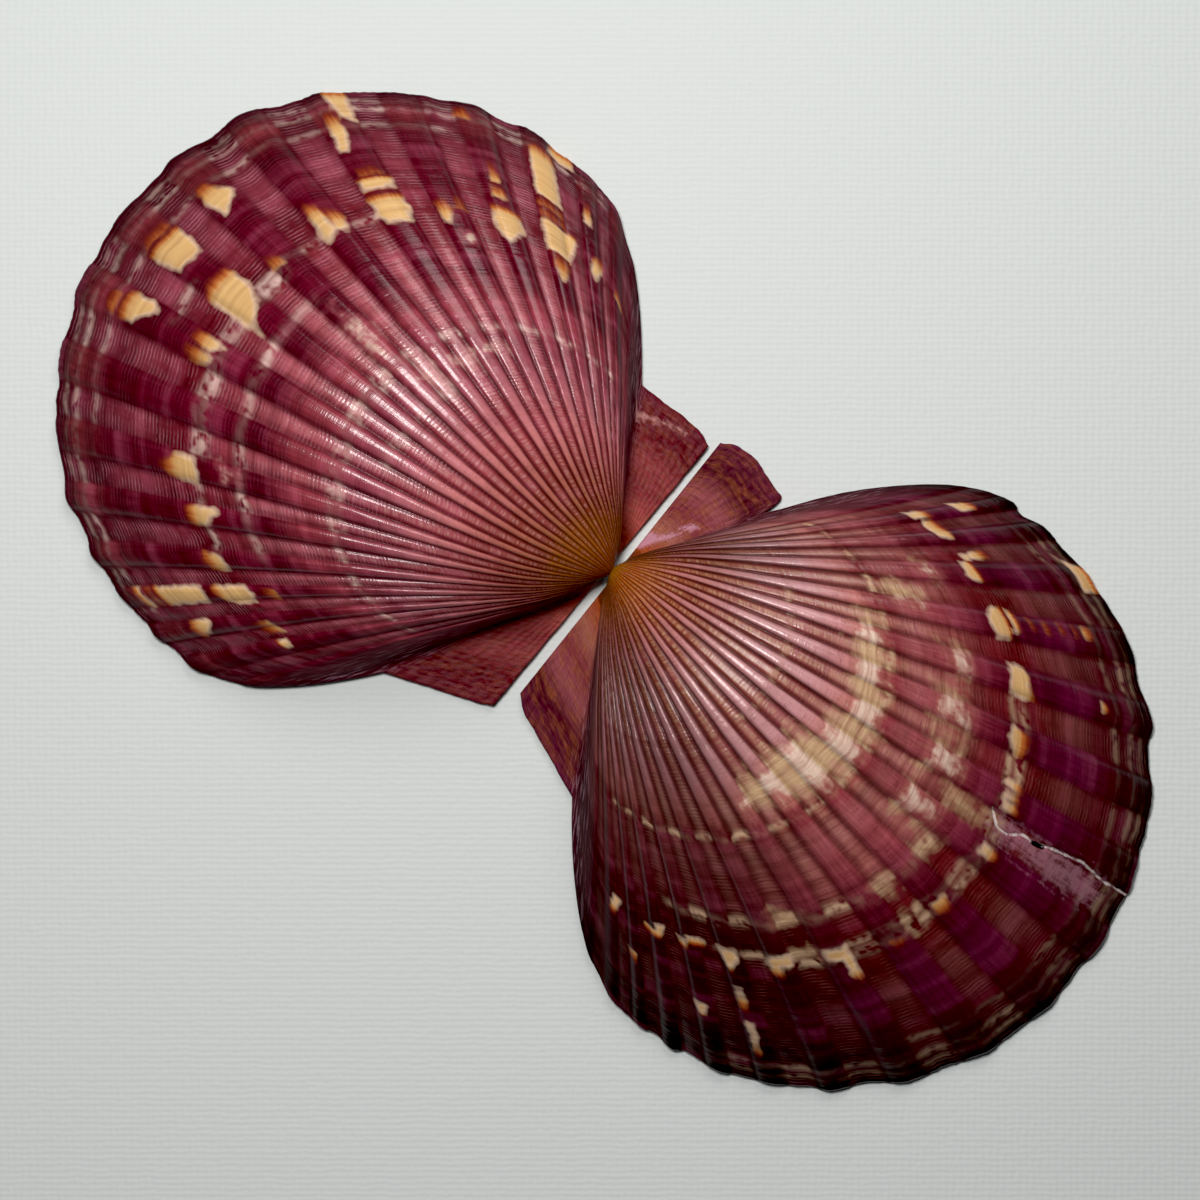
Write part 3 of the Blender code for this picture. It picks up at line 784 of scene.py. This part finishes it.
def calcite_lining(name, inside_colours):
    """The lining, calcite laid down slowly by the whole mantle: smooth, with a porcelain gloss.

    It is white to mauve, and stained wine red and brown towards the margin and the hinge.
    """
    material = bpy.data.materials.new(name)
    material.use_nodes = True
    shader = material.node_tree.nodes["Principled BSDF"]
    map_uv = add_node(material, "TexCoord", output="UV")
    place = add_node(material, "Mapping", {"Vector": map_uv, "Scale": (40.0, 40.0, 1.0)})
    cloud = add_node(material, "TexNoise", {"Vector": place, "Scale": 0.35, "Detail": 4.0})
    growth = add_node(material, "Attribute", output="Fac", attribute_name="growth")
    shift = add_node(material, "Math", {0: cloud, 1: 0.12, 2: -0.06}, operation="MULTIPLY_ADD")
    wander = add_node(material, "Math", {0: growth, 1: shift}, operation="ADD")
    shade = add_node(material, "ValToRGB", {0: wander}, stops=inside_colours)
    material.node_tree.links.new(shade, shader.inputs["Base Color"])
    shader.inputs["Roughness"].default_value = 0.24
    shader.inputs["IOR"].default_value = 1.6
    bump = add_node(material, "Bump", {"Height": cloud, "Strength": 0.3, "Distance": 0.1 * MM})
    material.node_tree.links.new(bump, shader.inputs["Normal"])
    return material


# colours at growths, for the ribs, for the spaces between them and for the ears
left_outside = calcite_outside(
    "left_calcite_outside",
    ((0.03, "#a04a0c"), (0.1, "#ba7028"), (0.155, "#b87038"), (0.175, "#b87454"),
     (0.23, "#be7263"), (0.32, "#d78585"), (0.4, "#c1717b"), (0.46, "#a34e5e"),
     (0.55, "#ad4d5a"), (0.62, "#6b162d"), (0.7, "#7e1936"), (0.9, "#661227"),
     (0.96, "#8a3941"), (1.0, "#4a1825")),
    ((0.03, "#983c06"), (0.1, "#a86018"), (0.155, "#a05a1c"), (0.175, "#924430"),
     (0.23, "#9c4e44"), (0.32, "#b55961"), (0.4, "#ad535f"), (0.47, "#b35e70"),
     (0.55, "#c16571"), (0.62, "#c36a77"), (0.69, "#9e424f"), (0.76, "#7f2432"),
     (0.84, "#a04c5c"), (0.93, "#7e3242"), (0.97, "#621828"), (1.0, "#571b29")),
    ((0.03, "#bd5a1b"), (0.2, "#8c2d18"), (0.35, "#d3716a"), (0.5, "#a1454b"),
     (0.65, "#b45b5c"), (0.8, "#7a1826"), (1.0, "#7f2d3e")),
    {"line": "#e0a0ac", "groove": "#3c0812", "pale": "#eac8bc", "cream": "#f2d0c0",
     "cream_dark": "#c87078", "cream_gap": "#e6b0a8", "painted_hollow_shade": "#9c5458",
     "yellow": "#e2b87c", "blush": "#c0607a", "ear_tan": "#a86850"})
left_lining = calcite_lining(
    "left_calcite_lining",
    ((0.05, "#8a5a48"), (0.20, "#c4a49c"), (0.45, "#e4d6d2"), (0.70, "#d8bcc0"),
     (0.85, "#a86878"), (0.95, "#6e2c3e"), (1.0, "#4a1626")))
left_valve = grow_valve(LEFT_VALVE, LEFT_YELLOW, LEFT_CREAM, LEFT_RINGS, left_outside, left_lining)
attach(left_valve, "root")
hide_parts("left_valve")


# The right valve.
# It is the same calcite, the other half of the same shell, and it grew as one piece too.
# One ear is notched where the byssus came out; a crack runs to the margin from a small hole.
RIGHT_VALVE = {
    "name": "right_valve",
    "hinge": (1.735 * MM, 0.007 * MM),
    "turn": 180.57,
    "disc_radius": 32.0 * MM,
    "disc_centre": 29.0 * MM,
    "lean": 3.5,
    "ears": {
        -1: {"reach": 17.7 * MM, "slope": -0.17, "junction": 60.5, "shoulder": 11.0,
             "notch": 2.7 * MM, "bulge": 0.55 * MM, "round": 1.1 * MM},
        1: {"reach": 16.0 * MM, "slope": 0.40, "junction": 62.5, "shoulder": 12.0,
            "notch": 0.0, "bulge": 0.0, "round": 0.7 * MM},
    },
    "ribs": (-53.5, -49, -44.7, -38.3, -30.4, -23.3, -15.7, -8.3, -1.2, 6.7, 14, 21.4, 28.4,
             34.5, 39.9, 44.8, 48.5, 52, 56),
    "rib_lean": ((0.03, 5.0), (0.12, 3.3), (0.15, 2.1), (0.20, 1.0), (0.25, 0.5), (0.30, 0.2),
                 (0.36, 0.0)),
    "lean_fans": 0.05,
    "turning": 0.75,
    "rib_edge": (0.20, 0.28),
    # its dark flanks, partly their own colour and partly painted shade
    "dark_flank_and_shade": (-22.0, -46.0, 0.54, 6.0, 34.0, 0.78),
    "steps": (0.13, 0.355, 0.51, 0.65, 0.73, 0.85, 0.93, 0.965),
    "crack": ((-6.5, 0.725), (-4.8, 0.745), (-4.7, 0.765), (-5.8, 0.79), (-5.6, 0.81),
              (-6.2, 0.84), (-6.8, 0.90), (-6.3, 0.95), (-6.4, 1.01)),
    "crack_angle": -5.7,
    "crack_depth": 0.22 * MM,
    "hole_depth": 0.75 * MM,
    "hole": ((-5.6, 0.812), (-5.8, 0.829)),
    "worn": (((-6.2, 0.74), (-3.6, 0.75), (-3.4, 0.95), (-6.0, 0.96)),
             ((-91.0, 0.18), (-78.0, 0.20), (-68.0, 0.36), (-68.0, 0.43), (-78.0, 0.31),
              (-91.0, 0.32)),
             ((-72.5, 0.43), (-66.0, 0.48), (-66.0, 0.53), (-70.0, 0.51))),
}

RIGHT_YELLOW = (
    (0.04, (-50, 0.738), (-48.4, 0.736), (-48.6, 0.785), (-49.8, 0.787)),
    (0.04, (-47.8, 0.752), (-44.6, 0.738), (-44.2, 0.765), (-46.4, 0.784), (-47.8, 0.78)),
    (0.02, (-40, 0.735), (-38, 0.725), (-36.9, 0.735), (-37, 0.757), (-40, 0.757)),
    (0.05, (-41.2, 0.75), (-40.2, 0.752), (-41, 0.812), (-42, 0.808)),
    (0.02, (-33.2, 0.74), (-31.8, 0.718), (-28.6, 0.722), (-28.8, 0.752), (-33, 0.757)),
    (0.02, (-32.8, 0.762), (-29.6, 0.76), (-30.2, 0.775), (-32.4, 0.777)),
    (0.05, (-32, 0.798), (-30.6, 0.798), (-30.6, 0.806), (-32, 0.806)),
    (0.05, (-32, 0.826), (-30.4, 0.826), (-30.4, 0.836), (-32, 0.836)),
    (0.05, (-32, 0.858), (-30.6, 0.858), (-30.6, 0.866), (-32, 0.866)),
    (0.05, (-32, 0.885), (-30.6, 0.885), (-30.6, 0.893), (-32, 0.893)),
    (0.05, (-31.8, 0.905), (-30.6, 0.905), (-30.8, 0.93), (-31.8, 0.93)),
    (0.03, (-25.5, 0.728), (-21.2, 0.722), (-21.2, 0.773), (-22.2, 0.758), (-25.2, 0.756)),
    (0.04, (-17.3, 0.73), (-16, 0.718), (-13.7, 0.735), (-13.8, 0.75), (-16.6, 0.757)),
    (0.03, (-10.8, 0.735), (-10, 0.727), (-9.8, 0.765), (-10.6, 0.76)),
    (0.03, (-9.4, 0.735), (-8.6, 0.732), (-8.6, 0.765), (-9.2, 0.76)),
    (0.03, (-8.2, 0.735), (-7.1, 0.735), (-7.2, 0.768), (-7.9, 0.76)),
    (0.03, (-2.4, 0.735), (-0.9, 0.733), (-1.2, 0.768), (-2, 0.765)),
    (0.05, (5.8, 0.737), (8, 0.735), (7.8, 0.755), (6.4, 0.765)),
    (0.05, (13.2, 0.755), (14.5, 0.753), (14.2, 0.765), (13.4, 0.765)),
    (0.04, (19.6, 0.73), (22.6, 0.727), (22.6, 0.745), (20.8, 0.748), (20.8, 0.78),
     (20, 0.8), (19.6, 0.76)),
    (0.03, (26.6, 0.73), (28, 0.725), (29.9, 0.735), (29.6, 0.765), (28.8, 0.77),
     (28.4, 0.748), (26.8, 0.75)),
    (0.02, (33.4, 0.725), (35.7, 0.723), (35.4, 0.75), (35, 0.773), (34.4, 0.75),
     (33.6, 0.745)),
    (0.05, (34.4, 0.8), (35.2, 0.8), (35.2, 0.85), (34.5, 0.85)),
    (0.05, (34.4, 0.87), (35.2, 0.87), (35, 0.95), (34.6, 0.94)),
    (0.02, (37.4, 0.722), (40, 0.72), (39.6, 0.737), (38, 0.735)),
    (0.02, (40.2, 0.732), (41.2, 0.73), (41, 0.75), (40.4, 0.748)),
    (0.03, (43.2, 0.727), (44.5, 0.725), (44.8, 0.742), (46.4, 0.745), (46, 0.76),
     (44.2, 0.752)),
    (0.04, (50.2, 0.735), (51.4, 0.733), (52.2, 0.775), (51.6, 0.782)),
    (0.05, (-50.4, 0.862), (-48.6, 0.86), (-48.8, 0.9), (-49.8, 0.915)),
    (0.03, (-23.6, 0.898), (-22.6, 0.896), (-22.8, 0.915), (-23.4, 0.915)),
    (0.03, (-40.2, 0.975), (-36.4, 0.972), (-36.2, 1.01), (-39, 1.01)),
    (0.05, (48.2, 0.825), (49, 0.825), (49, 0.85), (48.4, 0.85)),
    (0.01, (39.6, 0.857), (40.8, 0.855), (40.6, 0.885), (39.9, 0.882)),
)

RIGHT_CREAM = (
    ((-29, 0.478), (-20, 0.455), (-8, 0.462), (1, 0.435), (6, 0.415), (13, 0.42),
     (20, 0.44), (21, 0.465), (12, 0.49), (6, 0.508), (-8, 0.512), (-20, 0.512),
     (-28, 0.5)),
    ((-33.5, 0.52), (-31.5, 0.55), (-32, 0.6), (-33.4, 0.605), (-35.6, 0.565)),
    ((-18, 0.6), (-13.6, 0.598), (-13.4, 0.655), (-17.8, 0.652)),
    ((-10.8, 0.598), (-6.2, 0.596), (-6, 0.654), (-10.6, 0.654)),
    ((-3, 0.596), (1, 0.594), (1, 0.644), (-2.6, 0.646)),
    ((-25.4, 0.618), (-21.6, 0.618), (-21.6, 0.648), (-25.2, 0.648)),
    ((9.4, 0.666), (11.4, 0.666), (11.4, 0.678), (9.4, 0.678)),
    ((2, 0.666), (4, 0.666), (4, 0.68), (2, 0.68)),
    ((24, 0.662), (26, 0.662), (26, 0.674), (24, 0.674)),
    ((9.2, 0.73), (11.8, 0.73), (11.8, 0.746), (9.2, 0.746)),
    ((23.8, 0.722), (26.2, 0.722), (26.2, 0.74), (23.8, 0.74)),
    ((-39.6, 0.648), (-38, 0.638), (-37, 0.645), (-38.4, 0.662)),
    ((-5.8, 0.655), (-3.4, 0.655), (-3.6, 0.685), (-4.6, 0.71), (-5.6, 0.685)),
)

RIGHT_RINGS = (
    (0.355, 0.006, 0.40, -30, 10), (0.516, 0.006, 0.75, -54, 50),
    (0.668, 0.009, 0.80, 1, 42), (0.730, 0.006, 0.75, -22, 36), (0.748, 0.008, 0.75, -20, 30),
    (0.930, 0.006, 0.25, -45, 20), (0.965, 0.006, 0.35, -45, 40), (0.985, 0.004, 0.25, -45, 40),
)

right_outside = calcite_outside(
    "right_calcite_outside",
    ((0.03, "#c48d15"), (0.08, "#bd6927"), (0.12, "#c07c48"), (0.17, "#c4807a"),
     (0.3, "#c69191"), (0.4, "#d69ea0"), (0.48, "#da8c84"), (0.515, "#9d3c4a"),
     (0.55, "#b86d6d"), (0.62, "#bd646f"), (0.69, "#873345"), (0.76, "#641731"),
     (0.84, "#78264a"), (0.92, "#53041b"), (1.0, "#130202")),
    ((0.03, "#b78015"), (0.08, "#a15212"), (0.12, "#9e4d21"), (0.2, "#8e4839"),
     (0.3, "#9f5b50"), (0.4, "#ad6664"), (0.48, "#da9e96"), (0.52, "#b86760"),
     (0.55, "#c5837f"), (0.62, "#c57a76"), (0.69, "#883338"), (0.76, "#782328"),
     (0.84, "#834947"), (0.92, "#6a222d"), (1.0, "#180305")),
    ((0.03, "#8d481f"), (0.2, "#ba5b30"), (0.35, "#bd8070"), (0.5, "#9a4b54"),
     (0.65, "#ba737b"), (0.8, "#60152e"), (1.0, "#783250")),
    {"line": "#a06860", "groove": "#38080c", "pale": "#dcb898", "cream": "#f0d0b8",
     "cream_dark": "#b87c68", "cream_gap": "#d8bc90", "painted_hollow_shade": "#84402c",
     "yellow": "#dcb27a", "blush": "#a04c64", "ear_tan": "#b87848",
     "worn": "#c48c9e", "crack": "#e0d0cc", "hole": "#050203"})
right_lining = calcite_lining(
    "right_calcite_lining",
    ((0.05, "#946048"), (0.20, "#ccb0a4"), (0.45, "#e8dcd6"), (0.70, "#dcc4c4"),
     (0.85, "#aa7078"), (0.95, "#682c38"), (1.0, "#461620")))
right_valve = grow_valve(RIGHT_VALVE, RIGHT_YELLOW, RIGHT_CREAM, RIGHT_RINGS, right_outside,
                         right_lining)
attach(right_valve, "root")
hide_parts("right_valve")


# The ground.
# Plain white art paper with a fine linen emboss, 0.6 mm from rib to rib. It lies flat under the
# shell, a hair lower so that the two don't share a surface.
bpy.ops.object.select_all(action="DESELECT")
bpy.ops.mesh.primitive_plane_add(size=2.4, location=(0.0, 0.0, -0.02 * MM))
ground = bpy.context.object
ground.name = "ground"
bpy.ops.object.transform_apply(location=True, rotation=True, scale=True)
paper = bpy.data.materials.new("linen_embossed_paper")
paper.use_nodes = True
paper_shader = paper.node_tree.nodes["Principled BSDF"]
paper_shader.inputs["Base Color"].default_value = colour("#d6dad9")
paper_shader.inputs["Roughness"].default_value = 0.7
paper_place = add_node(paper, "Mapping", {"Vector": add_node(paper, "TexCoord", output="Object"),
                                          "Rotation": (0.0, 0.0, math.radians(50.8))})
# a wave's bands are 0.314 m apart at scale 1, so 520 gives the 0.6 mm ribs
weft = add_node(paper, "TexWave", {"Vector": paper_place, "Scale": 520.0, "Distortion": 2.5,
                                   "Detail": 3.0, "Detail Scale": 0.7}, "Fac",
                bands_direction="Y")
warp = add_node(paper, "TexWave", {"Vector": paper_place, "Scale": 430.0, "Distortion": 3.5,
                                   "Detail": 3.0, "Detail Scale": 0.9}, "Fac",
                bands_direction="X")
grain = add_node(paper, "TexNoise", {"Vector": paper_place, "Scale": 1100.0, "Detail": 3.0})
emboss = add_node(paper, "Math", {0: warp, 1: 1.1, 2: weft}, operation="MULTIPLY_ADD")
emboss = add_node(paper, "Math", {0: grain, 1: 3.0, 2: emboss}, operation="MULTIPLY_ADD")
paper_bump = add_node(paper, "Bump", {"Height": emboss, "Strength": 0.28, "Distance": 0.05 * MM})
paper.node_tree.links.new(paper_bump, paper_shader.inputs["Normal"])
ground.data.materials.append(paper)


# Studio light and the camera.
# A small soft light hangs nearly overhead, a little to the upper left, and a broader one past
# the picture's upper edge fills in; both are white panels in a dim pale room. The camera looks
# straight down from 0.3 m, turned so that the shell lies aslant.
VIEW_TURN = math.radians(-50.8)
view_right = np.array((math.cos(VIEW_TURN), math.sin(VIEW_TURN), 0.0))
view_up = np.array((-math.sin(VIEW_TURN), math.cos(VIEW_TURN), 0.0))
view_middle = np.array((-1.34 * MM, -0.44 * MM, 0.0))


def aim(item, target):
    """Turn a light so that it shines at a point."""
    way = mathutils.Vector(target) - item.location
    item.rotation_euler = way.to_track_quat("-Z", "Y").to_euler()


# each light: place to the right, up and above in metres, width, depth, watts
for light_name, right, up, above, width, depth, watts in (
        ("window_light", -0.045, 0.076, 0.29, 0.085, 0.070, 0.70),
        ("ceiling_light", 0.06, 0.24, 0.24, 0.20, 0.16, 0.39)):
    place = view_middle + right * view_right + up * view_up + np.array((0.0, 0.0, above))
    bpy.ops.object.light_add(type="AREA", location=place.tolist())
    light = bpy.context.object
    light.name = light_name
    light.data.shape = "RECTANGLE"
    light.data.size, light.data.size_y = width, depth
    light.data.energy = watts
    light.data.color = (1.0, 0.99, 0.97)
    aim(light, view_middle.tolist())

bpy.context.scene.world = bpy.data.worlds.new("pale_room")
bpy.context.scene.world.use_nodes = True
room = bpy.context.scene.world.node_tree.nodes["Background"]
room.inputs["Color"].default_value = colour("#e6ecf0")
room.inputs["Strength"].default_value = 0.05

camera_place = view_middle + np.array((0.0, 0.0, 0.3))
bpy.ops.object.camera_add(location=camera_place.tolist(), rotation=(0.0, 0.0, VIEW_TURN))
camera = bpy.context.object
camera.data.lens = 90.0
camera.data.sensor_width = 36.0
camera.data.clip_start = 0.01
bpy.context.scene.camera = camera
bpy.context.scene.view_settings.view_transform = "Standard"
# the deep blacks of a picture taken with a small camera
bpy.context.scene.view_settings.use_curve_mapping = True
bpy.context.scene.view_settings.curve_mapping.black_level = (0.009, 0.009, 0.009)
bpy.context.scene.view_settings.curve_mapping.update()
